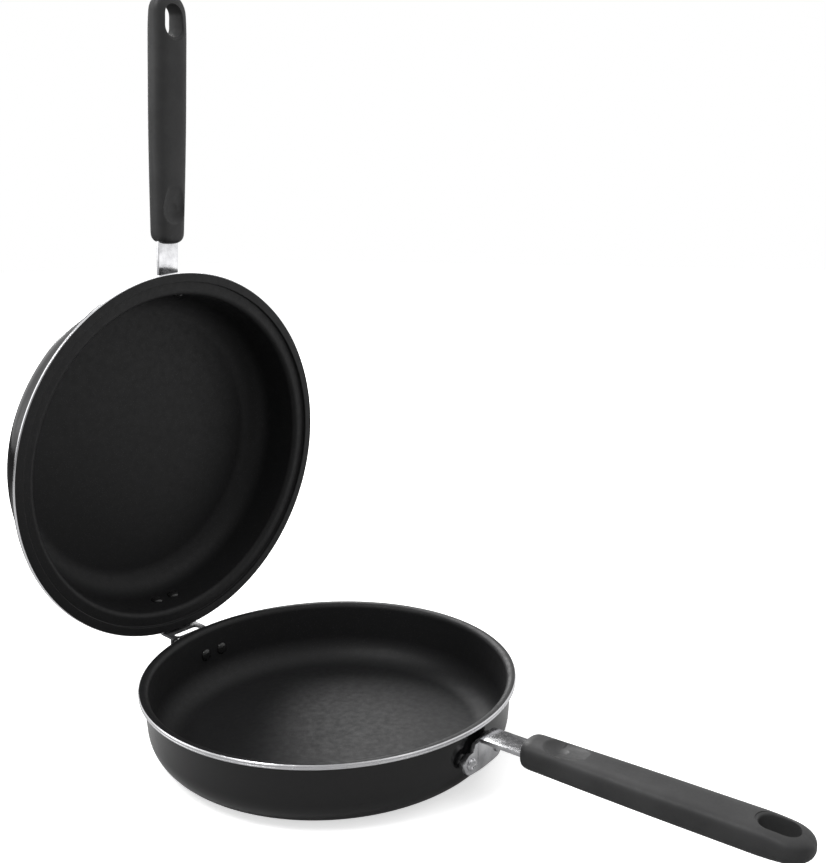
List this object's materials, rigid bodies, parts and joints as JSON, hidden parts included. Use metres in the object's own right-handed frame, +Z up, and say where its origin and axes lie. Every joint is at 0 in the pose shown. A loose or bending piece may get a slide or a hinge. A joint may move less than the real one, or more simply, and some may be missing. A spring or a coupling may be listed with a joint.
{
  "type": "double sided flip pan",
  "caption": "Two round hinged frying pans that close rim to rim, each with a long grip on a riveted bracket, standing open.",
  "frame": {"origin": "centre of the lower pan's flat base, which stands on the hob or table", "axes": "+Z up through the lower pan's mouth, +X along the lower handle away from the hinge, +Y across the pan"},
  "size_m": [0.4953, 0.2596, 0.473],
  "materials": {
    "pan": "gloss black enamel outside, satin non-stick inside, bare machined edge",
    "bracket_steel": "bright zinc plate, rolled grain",
    "rivet_steel": "dull zinc, rolled heads",
    "hinge_steel": "dark satin coat on stamped steel",
    "hinge_rivet": "coated black with the pan",
    "grip": "satin moulded phenolic",
    "screw_steel": "zinc plated"
  },
  "bodies": {
    "lower_half": {"lower_pan": "pan", "lower_handle_bracket": "bracket_steel", "lower_bracket_spacers": "bracket_steel", "lower_bracket_rivets": "rivet_steel", "lower_grip": "grip", "lower_tie_screw": "screw_steel", "lower_spring_washer": "screw_steel", "lower_weld_nut": "screw_steel", "lower_hinge_leaf": "hinge_steel", "lower_hinge_rivets": "hinge_rivet", "hinge_pin": "rivet_steel"},
    "upper_half": {"upper_pan": "pan", "upper_handle_bracket": "bracket_steel", "upper_bracket_spacers": "bracket_steel", "upper_bracket_rivets": "rivet_steel", "upper_grip": "grip", "upper_tie_screw": "screw_steel", "upper_spring_washer": "screw_steel", "upper_weld_nut": "screw_steel", "upper_hinge_plate": "hinge_steel", "upper_hinge_rivets": "hinge_rivet"}
  },
  "joints": [
    {"name": "pan_hinge", "type": "hinge", "parent": "lower_half", "child": "upper_half", "pos_m": [-0.1348, 0, 0.0315], "axis": [0, 1, 0], "range_deg": [0, 85]}
  ]
}
